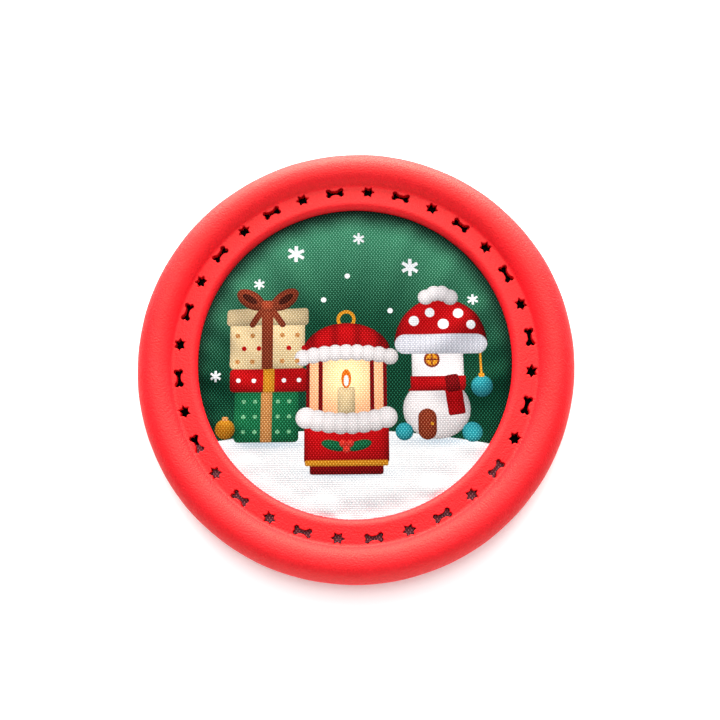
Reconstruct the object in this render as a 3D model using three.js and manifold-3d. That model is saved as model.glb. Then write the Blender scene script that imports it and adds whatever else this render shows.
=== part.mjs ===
// Soft flying disc: a woven fabric panel held between the two halves of a moulded foam-rubber rim.
// Millimetres, +Z out of the printed face, +Y towards the top of the print, origin at the disc's centre.
// Seen in section from the centre outwards, the rim is a rounded lip, a flat band pierced by small bone
// and star windows, a valley, and a fat round bead. Both faces are alike. The windows stop at the fabric.

import * as THREE from 'three';
import { mergeVertices } from 'three/addons/utils/BufferGeometryUtils.js';
import Module from 'manifold-3d';

const wasm = await Module();
wasm.setup();

// ---- Driving dimensions ----

const OUTER_DIAMETER = 230;           // the 9 inch size
const BEAD_RADIUS = 10;               // section of the fat outer bead, and half of the disc's thickness
const REST_FLAT_WIDTH = 3.2;          // flat land along the bead's crest, which the disc lies on
const BAND_HEIGHT = 3.9;              // face of the flat band above the fabric's middle
const BAND_INNER_RADIUS = 86.6;       // where the flat band turns down into the lip
const LIP_RADIUS = 3.8;               // rounding of the lip down to the fabric
const VALLEY_RADIUS = 2.0;            // hollow fillet between the band and the bead

const WINDOW_COUNT = 32;              // bones and stars in turn
const WINDOW_CIRCLE_RADIUS = 92.5;
const FIRST_STAR_ANGLE = 84.8;        // degrees, counter-clockwise from +X
const BONE_HALF_LENGTH = 4.8;
const BONE_LOBE_RADIUS = 1.3;
const BONE_LOBE_OFFSET = 1.2;         // from the bone's long axis to a lobe's centre
const BONE_WAIST_HALF_WIDTH = 1.15;
const BONE_SHOULDER_RADIUS = 2.5;     // hollow curve from the waist to a lobe
const STAR_POINTS = 6;
const STAR_TIP_RADIUS = 3.3;
const STAR_NOTCH_RADIUS = 2.0;
const STAR_STRETCH = 1.15;            // a star is this much longer along the rim than across it

const PANEL_THICKNESS = 0.5;
const PANEL_RADIUS = 106;             // cut edge, buried in the bead
const KEY_COUNT = 16;                 // rubber keys that pass through the fabric's hidden margin
const KEY_CIRCLE_RADIUS = 101.5;
const KEY_RADIUS = 2.0;
const KEY_HEIGHT = 3.0;               // a key's tip above the fabric's middle
const PUNCHED_HOLE_RADIUS = 2.4;

const GAP = 0.3;                      // clearance between neighbouring solids

// Flat steps that stand in for each round stretch.
const RIM_STEPS = 64;
const KEY_STEPS = 8;
const LIP_STEPS = 3;
const VALLEY_STEPS = 2;
const INNER_BEAD_STEPS = 3;
const OUTER_BEAD_STEPS = 5;
const LOBE_STEPS = 4;
const SHOULDER_STEPS = 2;

const RUBBER = { color: 0xed2233, roughness: 0.6, metalness: 0 };
const CLOTH = { color: 0x2f6b4c, roughness: 0.85, metalness: 0 };

// ---- Helpers ----

// Points on an arc about (x, y), both ends included.
function arc(x, y, radius, startAngle, endAngle, segments) {
  return Array.from({ length: segments + 1 }, (_, i) => {
    const angle = THREE.MathUtils.lerp(startAngle, endAngle, i / segments);
    return [x + radius * Math.cos(angle), y + radius * Math.sin(angle)];
  });
}

function toSolid(geometry) {
  geometry.deleteAttribute('normal');
  geometry.deleteAttribute('uv');
  const merged = mergeVertices(geometry);
  return new wasm.Manifold(new wasm.Mesh({
    numProp: 3,
    vertProperties: new Float32Array(merged.attributes.position.array),
    triVerts: new Uint32Array(merged.index.array),
  }));
}

function toGeometry(solid) {
  const { vertProperties, triVerts } = solid.getMesh();
  const geometry = new THREE.BufferGeometry();
  geometry.setAttribute('position', new THREE.BufferAttribute(vertProperties, 3));
  geometry.setIndex(new THREE.BufferAttribute(triVerts, 1));
  geometry.computeVertexNormals();
  return geometry;
}

// A closed [radius, height] outline turned about Z. It is given clockwise, with radius to the right,
// and turned the other way round, so that its faces point out.
function turned(outline) {
  const closed = [...outline, outline[0]].reverse().map(([r, z]) => new THREE.Vector2(r, z));
  return toSolid(new THREE.LatheGeometry(closed, RIM_STEPS).rotateX(Math.PI / 2));
}

function prism(shape, bottom, top) {
  const geometry = new THREE.ExtrudeGeometry(shape, { depth: top - bottom, bevelEnabled: false });
  return toSolid(geometry.translate(0, 0, bottom));
}

function rod(radius, bottom, top) {
  const geometry = new THREE.CylinderGeometry(radius, radius, top - bottom, KEY_STEPS);
  return toSolid(geometry.rotateX(Math.PI / 2).translate(0, 0, (bottom + top) / 2));
}

// Copies of a solid stood on a circle about Z, the first at firstAngle degrees, each turned to face out.
function ringOf(solid, radius, count, firstAngle) {
  return Array.from({ length: count }, (_, i) => {
    const angle = firstAngle + i * 360 / count;
    return solid.translate([radius, 0, 0]).rotate([0, 0, angle]);
  });
}

function cut(body, tools) {
  return tools.reduce((rest, tool) => rest.subtract(tool), body);
}

// ---- Windows ----

// Outlines have their long way along Y, which becomes the rim's own direction.

function boneShape() {
  const lobeCentre = BONE_HALF_LENGTH - BONE_LOBE_RADIUS;
  const shoulderHeight = BONE_WAIST_HALF_WIDTH + BONE_SHOULDER_RADIUS;
  const rise = shoulderHeight - BONE_LOBE_OFFSET;
  const run = Math.sqrt((BONE_SHOULDER_RADIUS + BONE_LOBE_RADIUS) ** 2 - rise ** 2);
  const meeting = Math.atan2(rise, -run);
  const notch = -Math.asin(BONE_LOBE_OFFSET / BONE_LOBE_RADIUS);
  const lobe = arc(lobeCentre, BONE_LOBE_OFFSET, BONE_LOBE_RADIUS, notch, meeting, LOBE_STEPS);
  const shoulder = arc(lobeCentre - run, shoulderHeight, BONE_SHOULDER_RADIUS,
    meeting - Math.PI, -Math.PI / 2, SHOULDER_STEPS);
  const quarter = [...lobe, ...shoulder.slice(1)];
  const mirror = (along, across) => quarter.map(([x, y]) => new THREE.Vector2(across * y, along * x));
  return new THREE.Shape([
    ...mirror(1, -1), ...mirror(-1, -1).reverse().slice(0, -1),
    ...mirror(-1, 1), ...mirror(1, 1).reverse().slice(0, -1),
  ]);
}

function starShape() {
  const corners = Array.from({ length: 2 * STAR_POINTS }, (_, i) => {
    const radius = i % 2 === 0 ? STAR_TIP_RADIUS : STAR_NOTCH_RADIUS;
    const angle = Math.PI / 2 + i * Math.PI / STAR_POINTS;
    return new THREE.Vector2(radius * Math.cos(angle), STAR_STRETCH * radius * Math.sin(angle));
  });
  return new THREE.Shape(corners);
}

function windowCutters() {
  const half = WINDOW_COUNT / 2;
  const firstBoneAngle = FIRST_STAR_ANGLE + 360 / WINDOW_COUNT;
  const bone = prism(boneShape(), -BEAD_RADIUS, BEAD_RADIUS);
  const star = prism(starShape(), -BEAD_RADIUS, BEAD_RADIUS);
  return [
    ...ringOf(bone, WINDOW_CIRCLE_RADIUS, half, firstBoneAngle),
    ...ringOf(star, WINDOW_CIRCLE_RADIUS, half, FIRST_STAR_ANGLE),
  ];
}

// ---- Rim ----

// Section of the front half, clockwise from the lip's foot. It sits on the other half outside the
// fabric's edge, and on the fabric inside it.
function rimOutline() {
  const seam = GAP / 2;
  const fabricSeat = PANEL_THICKNESS / 2 + GAP;
  const beadCentre = OUTER_DIAMETER / 2 - BEAD_RADIUS;

  const lipCentreHeight = BAND_HEIGHT - LIP_RADIUS;
  const lipFoot = Math.PI - Math.asin((fabricSeat - lipCentreHeight) / LIP_RADIUS);
  const lip = arc(BAND_INNER_RADIUS, lipCentreHeight, LIP_RADIUS, lipFoot, Math.PI / 2, LIP_STEPS);

  const valleyHeight = BAND_HEIGHT + VALLEY_RADIUS;
  const run = Math.sqrt((BEAD_RADIUS + VALLEY_RADIUS) ** 2 - valleyHeight ** 2);
  const meeting = Math.atan2(valleyHeight, -run);
  const valley = arc(beadCentre - run, valleyHeight, VALLEY_RADIUS,
    -Math.PI / 2, meeting - Math.PI, VALLEY_STEPS);

  // The bead's arc is flattened at its crest: the points at both edges of the land are at full height.
  const landHalfAngle = Math.asin(REST_FLAT_WIDTH / 2 / BEAD_RADIUS);
  const seamAngle = Math.asin(seam / BEAD_RADIUS);
  const innerBead = arc(beadCentre, 0, BEAD_RADIUS, meeting, Math.PI / 2 + landHalfAngle,
    INNER_BEAD_STEPS);
  const outerBead = arc(beadCentre, 0, BEAD_RADIUS, Math.PI / 2 - landHalfAngle, seamAngle,
    OUTER_BEAD_STEPS);
  const crest = [-0.5, 0.5].map((side) => [beadCentre + side * REST_FLAT_WIDTH, BEAD_RADIUS]);

  const foot = [
    [PANEL_RADIUS + GAP, seam],
    [PANEL_RADIUS + GAP, fabricSeat],
  ];
  return [...lip, ...valley, ...innerBead.slice(1, -1), ...crest, ...outerBead.slice(1), ...foot];
}

function rimHalf() {
  return cut(turned(rimOutline()), windowCutters());
}

// The back half is the front half turned over in a mirror, so that both halves' windows line up.
function rimFront() {
  const sockets = ringOf(rod(KEY_RADIUS + GAP, 0, KEY_HEIGHT + GAP),
    KEY_CIRCLE_RADIUS, KEY_COUNT, FIRST_STAR_ANGLE);
  return cut(rimHalf(), sockets);
}

function rimBack() {
  const keys = ringOf(rod(KEY_RADIUS, -KEY_HEIGHT, KEY_HEIGHT),
    KEY_CIRCLE_RADIUS, KEY_COUNT, FIRST_STAR_ANGLE);
  return keys.reduce((body, key) => body.add(key), rimHalf().mirror([0, 0, 1]));
}

// ---- Fabric panel ----

function fabricPanel() {
  const half = PANEL_THICKNESS / 2;
  const disc = turned([[0, -half], [0, half], [PANEL_RADIUS, half], [PANEL_RADIUS, -half]]);
  const punch = rod(PUNCHED_HOLE_RADIUS, -PANEL_THICKNESS, PANEL_THICKNESS);
  const punches = ringOf(punch, KEY_CIRCLE_RADIUS, KEY_COUNT, FIRST_STAR_ANGLE);
  return cut(disc, punches);
}

// ---- Assembly ----

function part(name, solid, finish) {
  const mesh = new THREE.Mesh(toGeometry(solid), new THREE.MeshStandardMaterial(finish));
  mesh.name = name;
  return mesh;
}

const disc = new THREE.Group();
disc.name = 'flying_disc';
disc.add(part('rim_front', rimFront(), RUBBER));
disc.add(part('rim_back', rimBack(), RUBBER));
disc.add(part('fabric_panel', fabricPanel(), CLOTH));

export default disc;
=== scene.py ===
"""Looks of the soft flying disc: a moulded foam-rubber rim round a printed woven panel.

The disc lies on its back bead, printed face up, +Y towards the top of the print. Shapes are worked out in
millimetres and turned into metres when a mesh is made.
"""

import math

import bpy
import numpy as np
from mathutils import Matrix, Vector


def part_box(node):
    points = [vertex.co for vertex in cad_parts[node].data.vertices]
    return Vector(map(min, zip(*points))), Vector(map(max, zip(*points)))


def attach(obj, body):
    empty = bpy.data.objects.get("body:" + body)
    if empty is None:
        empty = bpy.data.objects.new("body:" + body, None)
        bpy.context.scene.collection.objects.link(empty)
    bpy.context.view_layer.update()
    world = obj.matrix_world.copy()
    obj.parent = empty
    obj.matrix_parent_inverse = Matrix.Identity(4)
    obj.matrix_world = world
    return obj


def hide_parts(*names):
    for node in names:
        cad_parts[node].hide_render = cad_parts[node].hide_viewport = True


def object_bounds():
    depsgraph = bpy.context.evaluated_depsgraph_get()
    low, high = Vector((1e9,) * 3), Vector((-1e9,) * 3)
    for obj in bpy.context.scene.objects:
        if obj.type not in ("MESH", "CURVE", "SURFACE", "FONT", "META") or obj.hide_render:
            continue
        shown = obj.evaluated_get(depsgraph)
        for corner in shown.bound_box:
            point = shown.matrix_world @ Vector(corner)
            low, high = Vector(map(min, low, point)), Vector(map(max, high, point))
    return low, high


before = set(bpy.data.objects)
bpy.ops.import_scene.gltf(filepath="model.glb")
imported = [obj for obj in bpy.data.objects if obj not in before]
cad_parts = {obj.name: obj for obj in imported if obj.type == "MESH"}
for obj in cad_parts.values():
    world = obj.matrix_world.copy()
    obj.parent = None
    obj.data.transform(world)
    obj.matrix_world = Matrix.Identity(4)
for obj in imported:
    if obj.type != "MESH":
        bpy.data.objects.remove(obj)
CAD_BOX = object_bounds()
MM = 0.001

# ---- Sizes, in millimetres ----

DISC_RADIUS = CAD_BOX[1].x / MM
BEAD_RADIUS = CAD_BOX[1].z / MM             # also half of the disc's thickness
BEAD_CENTRE = DISC_RADIUS - BEAD_RADIUS
FLOOR_HEIGHT = CAD_BOX[0].z / MM

BAND_HEIGHT = 3.9                           # flat band above the fabric's middle
BAND_INNER_RADIUS = 86.6
LIP_RADIUS = 3.8
VALLEY_RADIUS = 2.0

WINDOWS = 32                                # bones and stars in turn
WINDOW_CIRCLE = 92.5
FIRST_STAR = math.radians(84.8)
WINDOW_PITCH = 2 * math.pi / WINDOWS
WINDOW_EDGE = 0.35                          # rounding round a window's mouth
WINDOW_DRAFT = 0.15                         # a window is this much narrower at the fabric

PANEL_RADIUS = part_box("fabric_panel")[1].x / MM
PANEL_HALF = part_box("fabric_panel")[1].z / MM
LIP_FOOT = BAND_INNER_RADIUS - LIP_RADIUS   # where the open fabric begins

CORNER_SOFTNESS = 0.16                      # how far a window's corners are blurred
THREAD_ACROSS = 0.86                        # pitch of the weave's upright threads
THREAD_UP = 1.11                            # pitch of its level threads

# ---- Mesh helpers ----


def smoothstep(edge0, edge1, x):
    """0 below edge0 and 1 above edge1, with a smooth ramp between them."""
    t = np.clip((x - edge0) / (edge1 - edge0), 0, 1)
    return t * t * (3 - 2 * t)


def make_object(name, points, faces):
    """A smooth-shaded object from points in millimetres and a list of face index arrays."""
    mesh = bpy.data.meshes.new(name)
    mesh.from_pydata((np.asarray(points) * MM).tolist(), [], [f.tolist() for part in faces for f in part])
    mesh.polygons.foreach_set("use_smooth", [True] * len(mesh.polygons))
    mesh.update()
    made = bpy.data.objects.new(name, mesh)
    bpy.context.scene.collection.objects.link(made)
    return made


def grid_faces(rows, columns, start=0):
    """Quads of a grid of points stored row by row, where each row closes on itself."""
    index = start + np.arange(rows * columns).reshape(rows, columns)
    index = np.hstack([index, index[:, :1]])
    a, b, c, d = index[:-1, :-1], index[:-1, 1:], index[1:, 1:], index[1:, :-1]
    return np.stack([a, b, c, d], axis=-1).reshape(-1, 4)


def weld(points, faces, distance=1e-4):
    """Joins points that coincide."""
    keys = np.round(points / distance).astype(np.int64)
    _, first, inverse = np.unique(keys, axis=0, return_index=True, return_inverse=True)
    inverse = inverse.reshape(-1)
    return points[first], [inverse[f] for f in faces]


def arc(x, y, radius, start, end, steps):
    """Points of a circular arc about (x, y), from one angle to the other."""
    angle = np.linspace(start, end, steps + 1)
    return np.stack([x + radius * np.cos(angle), y + radius * np.sin(angle)], axis=1)


# ---- Rim section ----

VALLEY_TOP = BAND_HEIGHT + VALLEY_RADIUS
VALLEY_RUN = math.sqrt((BEAD_RADIUS + VALLEY_RADIUS) ** 2 - VALLEY_TOP ** 2)
VALLEY_CENTRE = BEAD_CENTRE - VALLEY_RUN
VALLEY_MEETING = math.atan2(VALLEY_TOP, -VALLEY_RUN)    # where the valley meets the bead
ZONE_INNER = BAND_INNER_RADIUS + 2.0        # the windows are cut between these two radii
ZONE_OUTER = VALLEY_CENTRE + 1.3
PANEL_SEAT = PANEL_HALF + 0.03
SEAM_DEPTH = 0.18                           # groove of the parting line round the outside
SEAM_HEIGHT = 0.22
HALF_GAP = 0.02                             # between the two bonded halves
CUT_CLEARANCE = 0.3                         # beyond the panel's cut edge
VALLEY_STEPS, BEAD_STEPS, LIP_STEPS = 3, 46, 14


def rim_height(radius):
    """Height of the band and the start of the valley."""
    into = np.clip(radius - VALLEY_CENTRE, 0, VALLEY_RADIUS)
    return VALLEY_TOP - np.sqrt(VALLEY_RADIUS ** 2 - into ** 2)


def outer_section():
    """From the windows' outer radius over the bead and back underneath."""
    start = math.asin((ZONE_OUTER - VALLEY_CENTRE) / VALLEY_RADIUS) - math.pi / 2
    valley = arc(VALLEY_CENTRE, VALLEY_TOP, VALLEY_RADIUS, start, VALLEY_MEETING - math.pi,
                 VALLEY_STEPS)
    seam_angle = math.asin(SEAM_HEIGHT / BEAD_RADIUS)
    bead = arc(BEAD_CENTRE, 0, BEAD_RADIUS, VALLEY_MEETING, seam_angle, BEAD_STEPS)
    groove = [[DISC_RADIUS - SEAM_DEPTH / 3, SEAM_HEIGHT / 2], [DISC_RADIUS - SEAM_DEPTH, HALF_GAP]]
    cut = PANEL_RADIUS + CUT_CLEARANCE
    under = [[cut, HALF_GAP], [cut, PANEL_SEAT], [ZONE_OUTER, PANEL_SEAT]]
    return np.vstack([valley, bead[1:], groove, under])


def inner_section():
    """From the windows' inner radius underneath, round the lip and back on top."""
    lip_middle = BAND_HEIGHT - LIP_RADIUS
    foot = math.pi - math.asin((PANEL_SEAT - lip_middle) / LIP_RADIUS)
    lip = arc(BAND_INNER_RADIUS, lip_middle, LIP_RADIUS, foot, math.pi / 2, LIP_STEPS)
    return np.vstack([[[ZONE_INNER, PANEL_SEAT]], lip, [[ZONE_INNER, BAND_HEIGHT]]])


# ---- Windows ----

SIDE_POINTS = 16                            # mesh points along each side of a window's patch
OUTLINE_POINTS = 4 * SIDE_POINTS
DENSE_POINTS = 2048                         # points of an outline while its corners are rounded
LOBE_STEPS = 40                             # steps of a bone's rounded end and of its waist
WAIST_STEPS = 20


def bone_outline():
    """One quarter of a bone, from the notch in its end to the middle of its waist."""
    half_length, lobe, offset, waist, shoulder = 4.8, 1.3, 1.2, 1.15, 2.5
    rise = waist + shoulder - offset
    run = math.sqrt((shoulder + lobe) ** 2 - rise ** 2)
    meeting = math.atan2(rise, -run)
    knob = arc(half_length - lobe, offset, lobe, -math.asin(offset / lobe), meeting, LOBE_STEPS)
    hollow = arc(half_length - lobe - run, waist + shoulder, shoulder, meeting - math.pi, -math.pi / 2,
                 WAIST_STEPS)
    return np.vstack([knob, hollow[1:], [[0, waist]]])


def star_outline():
    """One quarter of a six-point star, from a tip on its long axis to the notch on the short one."""
    tip, notch, stretch = 3.3, 2.0, 1.15
    angle = np.arange(4) * math.pi / 6
    radius = np.where(np.arange(4) % 2 == 0, tip, notch)
    return np.stack([stretch * radius * np.cos(angle), radius * np.sin(angle)], axis=1)


def closed_outline(quarter):
    """Mirrors a quarter outline, rounds its corners and spaces its points evenly."""
    whole = np.vstack([quarter, (quarter * [-1, 1])[::-1][1:], (quarter * [-1, -1])[1:],
                       (quarter * [1, -1])[::-1][1:]])
    step = np.r_[0, np.cumsum(np.linalg.norm(np.diff(whole, axis=0), axis=1))]
    fine = np.linspace(0, step[-1], DENSE_POINTS + 1)[:-1]
    dense = np.stack([np.interp(fine, step, whole[:, i]) for i in range(2)], axis=1)
    frequency = np.fft.fftfreq(len(dense), fine[1])
    blur = np.exp(-2 * (math.pi * frequency * CORNER_SOFTNESS) ** 2)[:, None]
    soft = np.fft.ifft(np.fft.fft(dense, axis=0) * blur, axis=0).real
    loop = np.vstack([soft, soft[:1]])
    step = np.r_[0, np.cumsum(np.linalg.norm(np.diff(loop, axis=0), axis=1))]
    even = np.linspace(0, step[-1], OUTLINE_POINTS + 1)[:-1]
    return np.stack([np.interp(even, step, loop[:, i]) for i in range(2)], axis=1)


def offset_outline(outline, distance):
    """Moves each point of a counter-clockwise outline outwards along its normal."""
    along = np.roll(outline, -1, axis=0) - np.roll(outline, 1, axis=0)
    normal = np.stack([along[:, 1], -along[:, 0]], axis=1)
    return outline + distance * normal / np.linalg.norm(normal, axis=1, keepdims=True)


def patch_edge():
    """A window patch's outer edge as (angle, radius) steps, counter-clockwise from its +angle side."""
    n = SIDE_POINTS
    half = n // 2
    side = np.concatenate([np.arange(0, half), np.full(n, half), np.arange(half, -half, -1),
                           np.full(n, -half), np.arange(-half, 0)])
    rise = np.concatenate([np.full(half, half), np.arange(half, -half, -1), np.full(n, -half),
                           np.arange(-half, half), np.full(half, half)])
    # side runs along the radius and rise along the angle, so that both start on the +angle axis.
    angle = WINDOW_PITCH * rise / n
    radius = (ZONE_INNER + ZONE_OUTER) / 2 + (ZONE_OUTER - ZONE_INNER) * side / n
    return angle, radius


def window_rings(outline):
    """Loops of (along, out, height) points, from the patch's edge over the mouth and down the wall."""
    edge_angle, edge_radius = patch_edge()
    edge = np.stack([edge_radius * np.sin(edge_angle), edge_radius * np.cos(edge_angle)], axis=1)
    mouth = offset_outline(outline, WINDOW_EDGE) + [0, WINDOW_CIRCLE]
    rings = []
    for t in (0, 0.2, 0.4, 0.6, 0.8, 0.92, 1):
        flat = edge * (1 - t) + mouth * t
        rings.append((flat, rim_height(np.linalg.norm(flat, axis=1))))
    top = rings[-1][1]
    for turn in np.radians([22.5, 45, 67.5, 90]):
        flat = offset_outline(outline, WINDOW_EDGE * (1 - math.sin(turn))) + [0, WINDOW_CIRCLE]
        rings.append((flat, top - WINDOW_EDGE * (1 - math.cos(turn))))
    low = rings[-1][1]
    for t in (0.25, 0.5, 0.75, 1):
        flat = offset_outline(outline, -WINDOW_DRAFT * t) + [0, WINDOW_CIRCLE]
        rings.append((flat, low + (PANEL_SEAT - low) * t))
    foot = rings[-1][0]
    for t in (0.5, 1):
        rings.append((foot * (1 - t) + edge * t, np.full(OUTLINE_POINTS, PANEL_SEAT)))
    return np.stack([np.column_stack([flat, height]) for flat, height in rings])


def ring_of_windows():
    """Points and faces of all the window patches, bones and stars in turn."""
    kinds = [window_rings(closed_outline(quarter)) for quarter in (star_outline(), bone_outline())]
    points, faces, count = [], [], 0
    for i in range(WINDOWS):
        rings = kinds[i % 2]
        turn = FIRST_STAR + i * WINDOW_PITCH
        # A ring's first axis runs counter-clockwise along the rim, its second outwards.
        along = np.array([-math.sin(turn), math.cos(turn)])
        out = np.array([math.cos(turn), math.sin(turn)])
        flat = rings[..., :1] * along + rings[..., 1:2] * out
        points.append(np.concatenate([flat, rings[..., 2:]], axis=-1).reshape(-1, 3))
        faces.append(grid_faces(len(rings), OUTLINE_POINTS, count))
        count += len(rings) * OUTLINE_POINTS
    return np.vstack(points), np.vstack(faces)


def turned(section, start):
    """Points and faces of a section turned about Z, on the same columns as the window patches."""
    columns = WINDOWS * SIDE_POINTS
    turn = FIRST_STAR - WINDOW_PITCH / 2 + np.arange(columns) * 2 * math.pi / columns
    radius, height = section[:, :1], section[:, 1:]
    points = np.stack([radius * np.cos(turn), radius * np.sin(turn), height + 0 * turn], axis=-1)
    return points.reshape(-1, 3), grid_faces(len(section), columns, start)


def make_rim(name, side):
    """One half of the rim: side is 1 for the front and -1 for the back."""
    points, window_faces = ring_of_windows()
    faces = [window_faces[:, ::-1]]
    for section in (outer_section(), inner_section()):
        more, section_faces = turned(section, len(points))
        points = np.vstack([points, more])
        faces.append(section_faces[:, ::-1])
    points, faces = weld(points, faces)
    points = settle(points)
    if side < 0:
        points = points * [1, 1, -1]
        faces = [f[:, ::-1] for f in faces]
    return make_object(name, points, faces)


def settle(points):
    """The slight unevenness of a soft moulding: the bead is anything up to 0.28 mm under its true size."""
    turn = np.arctan2(points[:, 1], points[:, 0])
    radius = np.hypot(points[:, 0], points[:, 1])
    on_bead = smoothstep(VALLEY_CENTRE + 2, BEAD_CENTRE, radius)
    swell = 0.06 * np.sin(5 * turn + 0.7) + 0.05 * np.sin(13 * turn + 2.1) + 0.03 * np.sin(31 * turn) - 0.14
    section = np.stack([(radius - BEAD_CENTRE), points[:, 2]], axis=1) / BEAD_RADIUS
    moved = section * (on_bead * swell)[:, None]
    moved[:, 1] *= smoothstep(0, 2, points[:, 2])
    scale = (radius + moved[:, 0]) / radius
    return np.column_stack([points[:, :2] * scale[:, None], points[:, 2] + moved[:, 1]])


# ---- Fabric ----

FABRIC_COLUMNS = 640
FRONT_ROWS, FRONT_MARGIN_ROWS, FRONT_CENTRE = 116, 11, 0.7      # the centre is the innermost row's radius
BACK_ROWS, BACK_MARGIN_ROWS, BACK_CENTRE = 26, 4, 2.0

# The panel is a little loose, and its folds come from a cloth simulation of a coarse sheet, made ten times
# as large because that suits the solver. The sheet hangs from the lip with the disc stood on its edge.
FOLD_SCALE = 10
FOLD_ROWS = 32
FOLD_COLUMNS = 128
FOLD_RADII = np.linspace(2.0, LIP_FOOT, FOLD_ROWS)
FOLD_FRAMES = 25
FOLD_SLACK = 0.018                          # the sheet is this share longer than the opening is wide
FOLD_WAVES = (3, 40)                        # fewest waves round the lip that are kept, and too many
FOLD_FADE = (5, 35)                         # the folds fade in between these radii
LEAN = math.radians(11)                     # the disc leans back from upright
GRAVITY = 9.81


def loose_sheet():
    """The coarse sheet, slightly uneven so that it knows which way to fold."""
    turn = np.arange(FOLD_COLUMNS) * 2 * math.pi / FOLD_COLUMNS
    radius = FOLD_RADII[:, None]
    x, y = radius * np.cos(turn), radius * np.sin(turn)
    uneven = np.sin(x / 13 + 0.6) * np.sin(y / 11 + 1.1) + 0.5 * np.sin((x + 0.6 * y) / 7 + 2)
    z = uneven * (1 - (radius / LIP_FOOT) ** 2)
    points = np.vstack([np.stack([x, y, z], axis=-1).reshape(-1, 3), [[0, 0, 0]]])
    around = np.arange(FOLD_COLUMNS)
    cap = np.stack([np.full(FOLD_COLUMNS, len(points) - 1), around, np.roll(around, -1)], axis=1)
    faces = [grid_faces(FOLD_ROWS, FOLD_COLUMNS), cap]
    return make_object("loose_sheet", points * FOLD_SCALE, faces)


def hang(sheet):
    """Runs the simulation and returns the sheet's heights, in millimetres, row by row."""
    rim = sheet.vertex_groups.new(name="rim")
    rim.add(range((FOLD_ROWS - 1) * FOLD_COLUMNS, FOLD_ROWS * FOLD_COLUMNS), 1.0, "REPLACE")
    cloth = sheet.modifiers.new("cloth", "CLOTH").settings
    cloth.vertex_group_mass = "rim"
    cloth.quality = 6
    cloth.mass = 0.15
    cloth.tension_stiffness = cloth.compression_stiffness = 40
    cloth.shear_stiffness = 5
    cloth.bending_stiffness = 8
    cloth.air_damping = 2
    cloth.shrink_min = -FOLD_SLACK
    scene = bpy.context.scene
    scene.gravity = (0, -GRAVITY * math.cos(LEAN), -GRAVITY * math.sin(LEAN))
    for frame_number in range(1, FOLD_FRAMES + 1):
        scene.frame_set(frame_number)
    hung = sheet.evaluated_get(bpy.context.evaluated_depsgraph_get()).data
    points = np.empty(3 * len(hung.vertices))
    hung.vertices.foreach_get("co", points)
    scene.frame_set(1)
    scene.gravity = (0, 0, -GRAVITY)
    return points.reshape(-1, 3)[:-1, 2].reshape(FOLD_ROWS, FOLD_COLUMNS) / (FOLD_SCALE * MM)


def make_folds():
    """Heights of the folds on the fine mesh's columns. The bowl that the whole sheet sags into is left
    out, because the real panel is drawn tight, and so is the sheet's centre, where its columns crowd."""
    sheet = loose_sheet()
    waves = np.fft.rfft(hang(sheet), axis=1)
    bpy.data.objects.remove(sheet)
    fewest, too_many = FOLD_WAVES
    waves[:, :fewest] = 0
    waves[:, too_many:] = 0
    folds = np.fft.irfft(waves, n=FABRIC_COLUMNS, axis=1) * FABRIC_COLUMNS / FOLD_COLUMNS
    return folds * smoothstep(*FOLD_FADE, FOLD_RADII)[:, None]


def between_rows(rows, radius):
    """Smooth (Catmull-Rom) values of the folds at the given radii."""
    place = np.clip((radius - FOLD_RADII[0]) / (FOLD_RADII[1] - FOLD_RADII[0]), 0, FOLD_ROWS - 1)
    first = np.floor(place).astype(int)
    t = (place - first)[:, None]
    p0, p1, p2, p3 = [rows[np.clip(first + i, 0, FOLD_ROWS - 1)] for i in (-1, 0, 1, 2)]
    return p1 + t / 2 * (p2 - p0 + t * (2 * p0 - 5 * p1 + 4 * p2 - p3 + t * (3 * (p1 - p2) + p3 - p0)))


def swell(x, y):
    """Height of the broad, soft swells in the middle of the panel."""
    free = np.clip(1 - (np.hypot(x, y) / LIP_FOOT) ** 2, 0, 1)
    waves = 0.6 * np.sin(x / 31 + 0.6) * np.sin(y / 27 + 1.1) + 0.4 * np.sin((x + 0.6 * y) / 17 + 2.0)
    return free * (waves + 0.25 * np.sin((x * 0.5 - y) / 11.0 + 0.4))


def make_fabric(name):
    """The panel: a fine polar grid on the printed face, a coarser one behind, joined round the edge."""
    front_radius = np.r_[np.linspace(FRONT_CENTRE, LIP_FOOT, FRONT_ROWS),
                         np.linspace(LIP_FOOT, PANEL_RADIUS, FRONT_MARGIN_ROWS)[1:]]
    back_radius = np.r_[np.linspace(PANEL_RADIUS, LIP_FOOT, BACK_MARGIN_ROWS),
                        np.linspace(LIP_FOOT, BACK_CENTRE, BACK_ROWS)[1:]]
    turn = np.arange(FABRIC_COLUMNS) * 2 * math.pi / FABRIC_COLUMNS
    folds = make_folds()
    rows = []
    for radius, side in ((front_radius, 1), (back_radius, -1)):
        x = radius[:, None] * np.cos(turn)
        y = radius[:, None] * np.sin(turn)
        height = swell(x, y) + between_rows(folds, radius)
        rows.append(np.stack([x, y, height + side * PANEL_HALF], axis=-1))
    points = np.vstack(rows)
    count = points.shape[0]
    flat = points.reshape(-1, 3)
    centres = [[0, 0, swell(0, 0) + PANEL_HALF], [0, 0, swell(0, 0) - PANEL_HALF]]
    around = np.arange(FABRIC_COLUMNS)
    following = np.roll(around, -1)
    last = (count - 1) * FABRIC_COLUMNS
    centre = len(flat)
    caps = [np.stack([np.full(FABRIC_COLUMNS, centre), around, following], axis=1),
            np.stack([np.full(FABRIC_COLUMNS, centre + 1), last + following, last + around], axis=1)]
    faces = [grid_faces(count, FABRIC_COLUMNS)[:, ::-1], *caps]
    fabric = make_object(name, np.vstack([flat, centres]), faces)
    fabric.data.polygons.foreach_set("material_index", [int(f.normal.z < 0) for f in fabric.data.polygons])
    return fabric


# ---- Print ----

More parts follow.
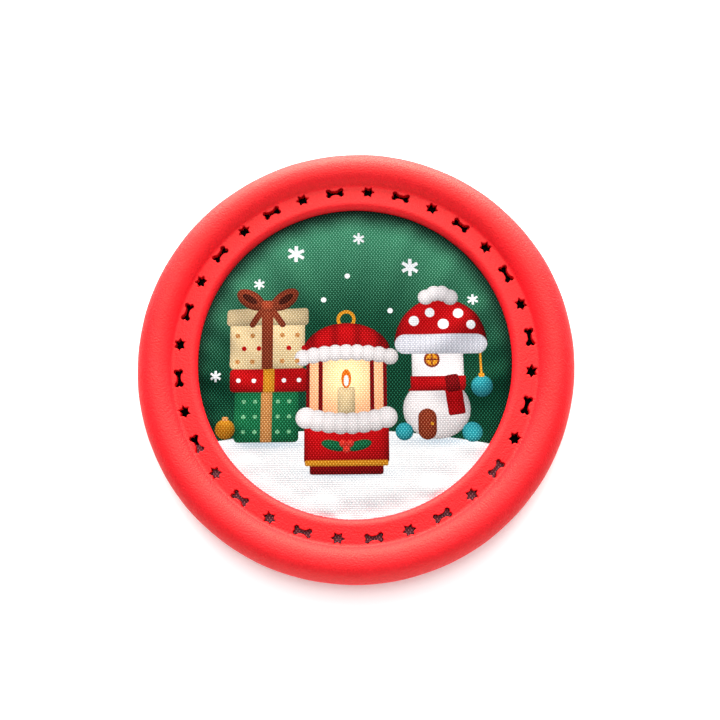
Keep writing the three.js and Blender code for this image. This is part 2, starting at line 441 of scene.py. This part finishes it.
# The print is painted in layers on the fabric's mesh. Each layer keeps, for every mesh point, how far the
# point is from the edge of the layer's nearest shape, and that shape's ink. The material cuts each layer
# off where the distance passes zero, so edges stay crisp between mesh points.
LAYERS = 6
FAR = 50.0
EDGE_FADE = 2.2                             # a round thing darkens over about this much of its edge
WHITE_INK = 0.70                            # share of the light that the palest ink sends back
SCREEN_GAMMA = 2.2


def ink(red, green, blue):
    """The cloth's own colour for a screen tone seen under the studio light."""
    tone = np.array([red, green, blue]) / 255
    return WHITE_INK * tone ** SCREEN_GAMMA


WHITE = np.array([0.74, 0.77, 0.795])
CREAM = ink(250, 232, 194)
TAN = ink(222, 172, 116)
BROWN = ink(172, 92, 66)
DARK_BROWN = ink(104, 54, 42)
RED = ink(206, 30, 38)
DARK_RED = ink(150, 24, 32)
GREEN = ink(46, 140, 100)
PALE_GREEN = ink(150, 210, 172)
GOLD = ink(236, 178, 66)
PEACH = ink(255, 196, 160)
GLOW = np.array([0.95, 0.80, 0.52])
BLUE = ink(84, 196, 208)
ORANGE = ink(250, 150, 50)
BERRY = ink(255, 96, 84)
ICE = np.array([0.62, 0.64, 0.70])
FUR = np.array([0.70, 0.69, 0.71])
LOW_SKY = ink(33, 100, 77)
HIGH_SKY = ink(115, 192, 160)

# Snowflakes and falling snow, too fine for the mesh's points, are drawn by the material: x, y and radius.
FLAKES = ((-31, 58.5, 4.7), (30.5, 50, 4.7), (3, 66.5, 3.2),
          (-51, 42, 3.0), (63.5, 31.5, 3.0), (-73, -8.5, 3.0))
SNOW_DOTS = ((-3.3, 45.5, 1.45), (-16, 32.5, 1.45), (19.5, 26, 1.45))


class Print:
    """Shapes on the panel, in millimetres from its centre. Distances are negative inside a shape."""

    def __init__(self, points):
        self.x, self.y = points[:, 0], points[:, 1]
        self.edge = np.full((LAYERS + 1, len(points)), FAR)
        self.colour = np.zeros((LAYERS + 1, len(points), 3))

    def paint(self, layer, edge, colour, shading=0.0):
        """Adds a shape. With shading, it is drawn as a round thing lit from its upper left."""
        tint = np.broadcast_to(colour, (len(self.x), 3))
        if shading:
            inside = edge < 0
            x, y = self.x[inside], self.y[inside]
            lift = np.clip((self.y - y.min()) / np.ptp(y) - 0.35 * (self.x - x.min()) / np.ptp(x), -0.35, 1)
            rim = np.exp(np.clip(edge, -FAR, 0) / EDGE_FADE)
            tint = tint * (1 + shading * (0.75 * lift - 0.15 - 0.75 * rim))[:, None]
        nearer = edge < self.edge[layer]
        self.edge[layer][nearer] = edge[nearer]
        self.colour[layer][nearer] = tint[nearer]

    def disc(self, x, y, radius):
        return np.hypot(self.x - x, self.y - y) - radius

    def ellipse(self, x, y, across, up, tilt=0.0):
        c, s = math.cos(math.radians(tilt)), math.sin(math.radians(tilt))
        u = c * (self.x - x) + s * (self.y - y)
        v = c * (self.y - y) - s * (self.x - x)
        reach = np.hypot(u / across, v / up)
        slope = np.hypot(u / across ** 2, v / up ** 2)
        return (reach - 1) * reach / np.maximum(slope, 1e-6)

    def box(self, x, y, half_width, half_height, corner=0.5, tilt=0.0):
        c, s = math.cos(math.radians(tilt)), math.sin(math.radians(tilt))
        u = np.abs(c * (self.x - x) + s * (self.y - y)) - half_width + corner
        v = np.abs(c * (self.y - y) - s * (self.x - x)) - half_height + corner
        outside = np.hypot(np.maximum(u, 0), np.maximum(v, 0))
        return outside + np.minimum(np.maximum(u, v), 0) - corner

    def stroke(self, x1, y1, x2, y2, half_width):
        run = np.array([x2 - x1, y2 - y1])
        t = ((self.x - x1) * run[0] + (self.y - y1) * run[1]) / (run @ run)
        t = np.clip(t, 0, 1)
        return np.hypot(self.x - x1 - t * run[0], self.y - y1 - t * run[1]) - half_width

    def puffs(self, x1, x2, count, radius, height):
        """A row of overlapping puffs of snow, with their centres on the curve height(x)."""
        return np.min([self.disc(x, height(x), radius) for x in np.linspace(x1, x2, count)], axis=0)

    def above(self, y):
        return y - self.y


def paint_sky(p):
    """Green evening sky. It lightens towards the top and both sides, and near the lip it is darkened by
    painted shade that stands in for the lip's shadow.
    """
    lift = smoothstep(12, 89, p.y + 0.0042 * p.x ** 2 - 0.03 * p.x)[:, None]
    # Painted shadow: the sky darkens towards the rubber lip, most of all at the top, as if in the lip's
    # shadow.
    lip_shadow = 1 - 0.95 * smoothstep(74, 90, np.hypot(p.x, p.y + 5.0))
    p.colour[0] = (LOW_SKY * (1 - lift) + HIGH_SKY * lift) * lip_shadow[:, None]


def paint_snow(p):
    """A low hill of snow, with a faint shade under what stands on it."""
    crest = -37.4 - 0.0013 * (p.x + 8) ** 2
    shade = np.zeros(len(p.x))
    for x, y, width in ((-46, -44.5, 20), (-4, -59.5, 20), (44, -43.5, 20)):
        shade += np.exp(-((p.x - x) / width) ** 2 - ((p.y - y) / 2.6) ** 2)
    tint = WHITE * (1 - np.array([0.30, 0.22, 0.16]) * np.clip(shade, 0, 1)[:, None])
    p.paint(1, p.y - crest, tint)


def paint_gifts(p):
    """Left: a stack of three wrapped boxes with a brown bow."""
    p.paint(2, p.box(-46, 10, 20, 15, 3), CREAM, 0.35)
    p.paint(2, p.box(-46, -30, 17, 13.5, 2.5), GREEN, 0.45)
    p.paint(3, p.box(-46, 23.5, 22, 4.6, 2), CREAM * 0.86, 0.35)
    p.paint(3, p.box(-45, -10.8, 20.5, 6.2, 2.2), RED, 0.45)
    p.paint(4, p.box(-46, 11.7, 3, 16.4, 0.6), BROWN, 0.25)
    p.paint(4, p.box(-45, -10.8, 3, 6.2, 0.6), GOLD, 0.25)
    p.paint(4, p.box(-46, -30.3, 3, 13.2, 0.6), TAN, 0.25)
    for side in (-1, 1):
        p.paint(4, p.ellipse(-46 + side * 9, 33, 8.4, 4.8, side * 32), BROWN, 0.5)
        p.paint(5, p.ellipse(-46 + side * 9.6, 33.4, 4.6, 1.9, side * 32), DARK_BROWN)
        p.paint(4, p.stroke(-46 + side * 2, 28, -46 + side * 8, 19.5, 1.7), BROWN, 0.3)
    p.paint(6, p.box(-46, 29.6, 3.4, 3.1, 1.6), BROWN * 1.4, 0.5)
    for row, y in enumerate((13.5, 6.5, -0.5)):
        for x in (-62, -54, -38, -30):
            p.paint(5, p.disc(x + 3.5 * (row % 2), y, 1.3), RED if row % 2 else TAN)
    for x in (-61, -53, -37, -29):
        p.paint(5, p.disc(x, -10.8, 1.2), WHITE)
    for x in (-58, -52, -40, -34):
        for y in (-22, -30, -38):
            p.paint(5, p.disc(x, y, 1.1), PALE_GREEN)
    p.paint(3, p.disc(-67.5, -36.5, 5.2), GOLD, 0.6)
    p.paint(4, p.box(-67.5, -31, 1.6, 1.1, 0.4), TAN)


def paint_lantern(p):
    """Centre: a red lantern under snow, with a candle in it, on a stepped foot with a sprig of holly."""
    x = -4.0
    glow = np.exp(-(p.disc(x, -10, 0) / 16) ** 2)[:, None]
    ribs = 1 - 0.30 * np.abs(np.sin(math.pi * (p.x - x) / 12))[:, None] ** 6
    p.paint(2, np.abs(p.disc(x, 21.5, 4.2)) - 0.9, GOLD)
    p.paint(2, p.box(x, -15, 21, 18, 4), PEACH * (1 - glow) + GLOW * glow)
    p.paint(2, p.box(x, -57.5, 19, 2.8, 1.2), DARK_RED, 0.4)
    for side in (-1, 1):
        p.paint(3, p.box(x + side * 13.5, -14, 1.1, 18, 0.4), DARK_RED)
        p.paint(3, p.box(x + side * 20.2, -14, 0.9, 18, 0.4), DARK_RED)
    p.paint(3, np.maximum(p.ellipse(x, 1, 24, 18.5), p.above(1)), RED * ribs, 0.9)
    p.paint(3, p.box(x, -44, 22, 11.5, 3), RED, 0.7)
    p.paint(3, p.box(x, -22, 4.6, 7, 1.2), CREAM, 0.4)
    p.paint(4, p.puffs(-27, 19, 9, 4.4, lambda a: 1 + 2.5 * (1 - ((a - x) / 23) ** 2)), FUR, 0.45)
    p.paint(4, p.puffs(-25, 17, 8, 5.6, lambda a: -31 - 3 * (1 - ((a - x) / 21) ** 2)), FUR, 0.45)
    p.paint(4, p.ellipse(x, -10.6, 2.6, 5.0), ORANGE)
    p.paint(4, p.box(x, -54.4, 21.5, 1.5, 0.7), GOLD, 0.3)
    p.paint(5, p.ellipse(x, -11.6, 1.3, 3.0), WHITE)
    for side in (-1, 1):
        p.paint(5, p.ellipse(x + side * 6.6, -45.4, 6.6, 2.6, side * 14), GREEN, 0.5)
        p.paint(6, p.disc(x + side * 1.9, -44.4, 1.9), BERRY, 0.5)
    p.paint(6, p.disc(x, -47.4, 1.9), BERRY, 0.5)


def paint_toadstool(p):
    """Right: a red-capped toadstool with snow on it, a ribbon round its stalk and blue baubles."""
    stalk = np.minimum(p.ellipse(43, -27, 17.5, 15.5), p.box(44, -5, 13.5, 15, 6))
    p.paint(2, stalk, FUR, 0.45)
    p.paint(2, p.stroke(66.5, 8, 66.5, -10, 0.6), GOLD)
    p.paint(3, np.maximum(p.ellipse(46, 7, 24.5, 25.5), p.above(7)), RED, 0.9)
    p.paint(3, np.maximum(p.box(44, -13.5, 30, 3.9), stalk - 0.8), RED, 0.4)
    p.paint(3, p.box(52.5, -21.5, 4.4, 8.5, 0.8, 8), RED, 0.4)
    p.paint(3, p.stroke(38, -38, 38, -31.5, 4.8), BROWN, 0.4)
    p.paint(3, p.disc(41, -0.8, 4.2), BROWN)
    for x, y, radius in ((66.5, -15.5, 5.6), (26, -38.5, 4.6), (61, -39, 5.2)):
        p.paint(3, p.disc(x, y, radius), BLUE, 0.6)
    ribs = 1 - 0.10 * (0.5 - 0.5 * np.cos(2 * math.pi * p.x / 2.8))
    p.paint(4, p.stroke(27, 7.5, 65, 7.5, 5.3), ICE * ribs[:, None], 0.25)
    spots = (32, 20, 2.7), (40.5, 24.5, 2.5), (47.5, 18.3, 2.9), (55.5, 24, 2.7), (62, 17.6, 2.4)
    for x, y, radius in spots:
        p.paint(4, p.disc(x, y, radius), WHITE)
    p.paint(4, p.puffs(38.5, 51.5, 4, 4.2, lambda a: 35 - 0.05 * (a - 45) ** 2), FUR, 0.45)
    p.paint(4, p.disc(41, -0.8, 3.1), GOLD * 1.2)
    p.paint(4, p.box(51.5, -13.5, 3.6, 4.6, 1.6, 8), DARK_RED, 0.3)
    p.paint(4, p.disc(40.5, -34.5, 0.9), GOLD)
    p.paint(4, p.box(66.5, -9.6, 1.5, 1.1, 0.4), GOLD)
    p.paint(5, p.box(41, -0.8, 3.1, 0.45, 0.1), BROWN)
    p.paint(5, p.box(41, -0.8, 0.45, 3.1, 0.1), BROWN)


def print_on(fabric):
    """Stores the print's layers on the fabric's mesh points."""
    mesh = fabric.data
    points = np.empty(3 * len(mesh.vertices))
    mesh.vertices.foreach_get("co", points)
    p = Print(points.reshape(-1, 3) / MM)
    for paint in (paint_sky, paint_snow, paint_gifts, paint_lantern, paint_toadstool):
        paint(p)
    for layer in range(LAYERS + 1):
        colour = mesh.attributes.new(f"ink_{layer}", "FLOAT_VECTOR", "POINT")
        colour.data.foreach_set("vector", p.colour[layer].ravel())
        edge = mesh.attributes.new(f"edge_{layer}", "FLOAT", "POINT")
        edge.data.foreach_set("value", p.edge[layer])


# ---- Camera, floor and light ----


def make_camera():
    """Nearly above the disc, a little towards the bottom of the print."""
    distance, elevation, sideways, roll = 394.8, math.radians(78.7), math.radians(10.7), math.radians(0.4)
    target = Vector((3.4, -1.3, BAND_HEIGHT))
    back = Vector((math.sin(sideways) * math.cos(elevation),
                   -math.cos(sideways) * math.cos(elevation), math.sin(elevation)))
    right = Vector((0, 1, 0)).cross(back).normalized()
    turn = Matrix([right, back.cross(right), back]).transposed() @ Matrix.Rotation(-roll, 3, "Z")
    data = bpy.data.cameras.new("camera")
    data.lens = 37.8
    data.sensor_width = 36
    data.clip_start = 0.01
    camera = bpy.data.objects.new("camera", data)
    camera.matrix_world = Matrix.Translation((target + back * distance) * MM) @ turn.to_4x4()
    bpy.context.scene.collection.objects.link(camera)
    bpy.context.scene.camera = camera


def area_light(name, place, size, power, colour=(1, 1, 1)):
    """A rectangular light that faces the disc, in metres and watts."""
    data = bpy.data.lights.new(name, "AREA")
    data.shape = "RECTANGLE"
    data.size, data.size_y = size
    data.energy = power
    data.color = colour
    light = bpy.data.objects.new(name, data)
    light.location = place
    light.rotation_euler = (-Vector(place)).to_track_quat("-Z", "Y").to_euler()
    bpy.context.scene.collection.objects.link(light)


FLOOR_HALF_SIZE = 0.6                       # in metres
FLOOR_GAP = 0.0001                          # in metres


def make_stage():
    """A pale floor just under the disc, and four lights. Most of their light comes from beyond its top."""
    size = FLOOR_HALF_SIZE
    mesh = bpy.data.meshes.new("floor")
    corners = [(-size, -size, 0), (size, -size, 0), (size, size, 0), (-size, size, 0)]
    mesh.from_pydata(corners, [], [(0, 1, 2, 3)])
    floor = bpy.data.objects.new("floor", mesh)
    floor.location.z = FLOOR_HEIGHT * MM - FLOOR_GAP
    bpy.context.scene.collection.objects.link(floor)
    material = bpy.data.materials.new("floor")
    material.use_nodes = True
    shader = material.node_tree.nodes["Principled BSDF"]
    shader.inputs["Base Color"].default_value = (0.93, 0.93, 0.93, 1)
    shader.inputs["Roughness"].default_value = 0.9
    shader.inputs["Emission Color"].default_value = (1, 1, 1, 1)
    shader.inputs["Emission Strength"].default_value = 0.25
    mesh.materials.append(material)

    area_light("key", (0.0, 0.9, 0.30), (1.6, 0.5), 30.0, (1.0, 0.92, 0.86))
    area_light("edge", (0.0, 1.0, 0.14), (1.5, 0.12), 22.0, (1.0, 0.82, 0.64))
    area_light("overhead", (0.0, 0.45, 1.1), (1.0, 0.8), 13.0)
    area_light("fill", (0.0, -1.0, 0.15), (1.6, 0.3), 6.0)


def make_world():
    """Dim white light from all round, with a plain white background behind the floor."""
    world = bpy.data.worlds.new("studio")
    world.use_nodes = True
    tree = world.node_tree
    seen = tree.nodes.new("ShaderNodeLightPath").outputs["Is Camera Ray"]
    strength = tree.nodes.new("ShaderNodeMapRange")
    strength.inputs["To Min"].default_value = 0.18
    strength.inputs["To Max"].default_value = 1.0
    tree.links.new(seen, strength.inputs["Value"])
    background = tree.nodes["Background"]
    background.inputs["Color"].default_value = (1, 1, 1, 1)
    tree.links.new(strength.outputs[0], background.inputs["Strength"])
    bpy.context.scene.world = world


# ---- Materials ----


class Nodes:
    """Short names for the node types that the materials use."""

    def __init__(self, name):
        self.material = bpy.data.materials.new(name)
        self.material.use_nodes = True
        self.tree = self.material.node_tree
        self.shader = self.tree.nodes["Principled BSDF"]

    def node(self, kind, values=None, **settings):
        made = self.tree.nodes.new("ShaderNode" + kind)
        for key, value in settings.items():
            setattr(made, key, value)
        for key, value in (values or {}).items():
            self.put(value, made.inputs[key])
        return made

    def put(self, value, socket):
        if isinstance(value, bpy.types.NodeSocket):
            self.tree.links.new(value, socket)
        else:
            socket.default_value = value

    def math(self, operation, *values):
        return self.node("Math", dict(enumerate(values)), operation=operation).outputs[0]

    def mix(self, factor, a, b, blend="MIX"):
        """Colour a where the factor is 0, and colour b laid over it where the factor is 1."""
        made = self.node("Mix", {0: factor, 6: a, 7: b}, data_type="RGBA", blend_type=blend)
        return made.outputs[2]

    def noise(self, vector, scale, detail=2.0):
        return self.node("TexNoise", {"Vector": vector, "Scale": scale, "Detail": detail}).outputs["Fac"]


RUBBER_REDS = (0.81, 0.0036, 0.014, 1), (0.87, 0.0048, 0.018, 1)
RUBBER_SHEEN = (1.0, 0.95, 0.68, 1)         # its highlights are warm


def rubber_material():
    """Foam rubber with a pebbled skin: grains about a millimetre wide, with finer ones on top."""
    n = Nodes("rim_rubber")
    place = n.node("TexCoord").outputs["Object"]
    pebble = n.node("TexVoronoi", {"Vector": place, "Scale": 1250.0, "Smoothness": 0.7}, feature="SMOOTH_F1")
    pebbles = n.math("SUBTRACT", 1.0, pebble.outputs["Distance"])
    lumps = n.noise(place, 1100)
    fine = n.noise(place, 3200)
    shade = n.node("ValToRGB", {"Fac": n.noise(place, 160, 3.0)})
    for stop, position, colour in zip(shade.color_ramp.elements, (0.3, 0.7), RUBBER_REDS):
        stop.position = position
        stop.color = colour
    # The grain's hollows are a little darker than its tops: painted shade, following the same noise as the
    # bump.
    tone = n.node("MapRange", {"Value": lumps, "From Min": 0.3, "From Max": 0.7, "To Min": 0.90})
    toned = n.node("VectorMath", {0: shade.outputs["Color"], 3: tone.outputs[0]}, operation="SCALE")
    n.put(toned.outputs[0], n.shader.inputs["Base Color"])
    rough = n.node("MapRange", {"Value": fine, "To Min": 0.50, "To Max": 0.66})
    n.put(rough.outputs[0], n.shader.inputs["Roughness"])
    height = n.math("MULTIPLY_ADD", lumps, 0.6, n.math("MULTIPLY_ADD", pebbles, 0.35,
                                                       n.math("MULTIPLY", fine, 0.12)))
    bump = n.node("Bump", {"Height": height, "Strength": 1.0, "Distance": 0.00034})
    n.put(bump.outputs[0], n.shader.inputs["Normal"])
    n.shader.inputs["Specular IOR Level"].default_value = 0.38
    n.shader.inputs["Specular Tint"].default_value = RUBBER_SHEEN
    return n.material


MASK_SOFTNESS = 0.12                        # half the width of a printed edge's blur, in millimetres
LAYER_SOFTNESS = 0.15


def flake_mask(n, place, x, y, radius):
    """1 inside a six-armed snowflake, 0 outside."""
    half_width = 0.20 * radius
    u = n.math("SUBTRACT", place.outputs["X"], x * MM)
    v = n.math("SUBTRACT", place.outputs["Y"], y * MM)
    squares = n.math("ADD", n.math("MULTIPLY", u, u), n.math("MULTIPLY", v, v))
    reach = n.math("DIVIDE", n.math("SQRT", squares), MM)
    # Folding the angle about each arm leaves one arm along the first axis.
    turned_from_arm = n.math("PINGPONG", n.math("ADD", n.math("ARCTAN2", v, u), 4.5 * math.pi), math.pi / 6)
    aside = n.math("MULTIPLY", reach, n.math("SINE", turned_from_arm))
    over = n.math("MAXIMUM", n.math("SUBTRACT", aside, half_width), n.math("SUBTRACT", reach, radius))
    return n.node("MapRange", {"Value": over, "From Min": MASK_SOFTNESS,
                               "From Max": -MASK_SOFTNESS}).outputs[0]


def dot_mask(n, place, x, y, radius):
    """1 inside a round dot, 0 outside."""
    centre = n.node("CombineXYZ", {"X": x * MM, "Y": y * MM})
    flat = n.node("CombineXYZ", {"X": place.outputs["X"], "Y": place.outputs["Y"]})
    reach = n.node("VectorMath", {0: flat.outputs[0], 1: centre.outputs[0]}, operation="DISTANCE")
    return n.node("MapRange", {"Value": reach.outputs["Value"], "From Min": (radius + MASK_SOFTNESS) * MM,
                               "From Max": (radius - MASK_SOFTNESS) * MM}).outputs[0]


def printed_colour(n):
    """The print: the sky, the falling snow and then the mesh's painted layers, one over the other."""
    place = n.node("SeparateXYZ", {"Vector": n.node("TexCoord").outputs["Object"]})
    colour = n.node("Attribute", attribute_name="ink_0").outputs["Vector"]
    flakes = [flake_mask(n, place, *flake) for flake in FLAKES]
    dots = [dot_mask(n, place, *dot) for dot in SNOW_DOTS]
    for mask in flakes + dots:
        colour = n.mix(mask, colour, (*WHITE, 1))
    for layer in range(1, LAYERS + 1):
        edge = n.node("Attribute", attribute_name=f"edge_{layer}").outputs["Fac"]
        inside = n.node("MapRange", {"Value": edge, "From Min": LAYER_SOFTNESS, "From Max": -LAYER_SOFTNESS})
        printed = n.node("Attribute", attribute_name=f"ink_{layer}").outputs["Vector"]
        colour = n.mix(inside.outputs[0], colour, printed)
    return colour


def weave(n):
    """Height of a plain weave: 1 on an upright thread's crown, less on a level one's, 0 in a gap."""
    place = n.node("SeparateXYZ", {"Vector": n.node("TexCoord").outputs["Object"]})
    across = n.math("MULTIPLY", place.outputs["X"], 1 / (THREAD_ACROSS * MM))
    up = n.math("MULTIPLY", place.outputs["Y"], 1 / (THREAD_UP * MM))
    parity = n.math("ADD", n.math("FLOOR", across), n.math("FLOOR", up))
    upright = n.math("PINGPONG", parity, 1.0)
    swell_across = n.math("ABSOLUTE", n.math("SINE", n.math("MULTIPLY", across, math.pi)))
    swell_up = n.math("ABSOLUTE", n.math("SINE", n.math("MULTIPLY", up, math.pi)))
    # A thread is rounder across itself than along itself.
    crown = n.math("MULTIPLY", n.math("POWER", swell_across, n.math("MULTIPLY_ADD", upright, 0.6, 0.4)),
                   n.math("POWER", swell_up, n.math("MULTIPLY_ADD", upright, -0.6, 1.0)))
    return n.math("MULTIPLY", crown, n.math("MULTIPLY_ADD", upright, 0.6, 0.4))


WINDOW_SHADE_RAMP = 0.5                            # the painted shade starts over this many millimetres
# Painted shade: the tint that darkens the cloth seen through the deep windows.
WINDOW_SHADE_TINT = (0.42, 0.20, 0.22, 1)


def shade_margin(n, colour):
    """Darkens the margin under the band, seen only through the windows: painted shade that stands in for the
    shadow deep in the windows.
    """
    place = n.node("TexCoord").outputs["Object"]
    radius = n.node("VectorMath", {0: place}, operation="LENGTH").outputs["Value"]
    edge = LIP_FOOT * MM
    in_window_shade = n.node("MapRange", {"Value": radius, "From Min": edge, "From Max": edge + WINDOW_SHADE_RAMP * MM})
    return n.mix(in_window_shade.outputs[0], colour, n.mix(1.0, colour, WINDOW_SHADE_TINT, "MULTIPLY"))


def fabric_material(name, show_through):
    """Woven polyester. The print shows in full with show_through 1, and less so with a lower share."""
    n = Nodes(name)
    height = weave(n)
    colour = n.mix(show_through, (*WHITE, 1), printed_colour(n))
    # Painted shade: the weave's gaps, and less so its level threads, are painted darker than the upright
    # threads' crowns. Light bounces several times in the gaps and takes on the ink's colour at each bounce,
    # so a gap deepens a dark ink more than a pale one.
    depth = n.node("MapRange", {"Value": height, "From Max": 0.8, "To Min": 1.95, "To Max": 0.88})
    deepened = n.node("Gamma", {"Color": shade_margin(n, colour), "Gamma": depth.outputs[0]})
    # More painted shade: the colour is scaled down towards the gaps.
    shade = n.node("MapRange", {"Value": height, "From Max": 0.6, "To Min": 0.84, "To Max": 1.0})
    shaded = n.node("VectorMath", {0: deepened.outputs[0], 3: shade.outputs[0]}, operation="SCALE")
    n.put(shaded.outputs[0], n.shader.inputs["Base Color"])
    bump = n.node("Bump", {"Height": height, "Strength": 0.8, "Distance": 0.00022})
    n.put(bump.outputs[0], n.shader.inputs["Normal"])
    n.shader.inputs["Roughness"].default_value = 0.75
    n.shader.inputs["Specular IOR Level"].default_value = 0.03
    return n.material


# ---- Assembly ----

BACK_SHOW_THROUGH = 0.22

make_camera()
make_world()
make_stage()
rubber = rubber_material()

for node_name, side in (("rim_front", 1), ("rim_back", -1)):
    rim = make_rim(node_name + "_skin", side)
    rim.data.materials.append(rubber)
    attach(rim, "root")
    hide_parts(node_name)

fabric = make_fabric("printed_fabric")
print_on(fabric)
fabric.data.materials.append(fabric_material("panel_fabric", 1.0))
fabric.data.materials.append(fabric_material("panel_fabric_back", BACK_SHOW_THROUGH))
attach(fabric, "root")
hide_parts("fabric_panel")

bpy.context.scene.view_settings.view_transform = "Standard"
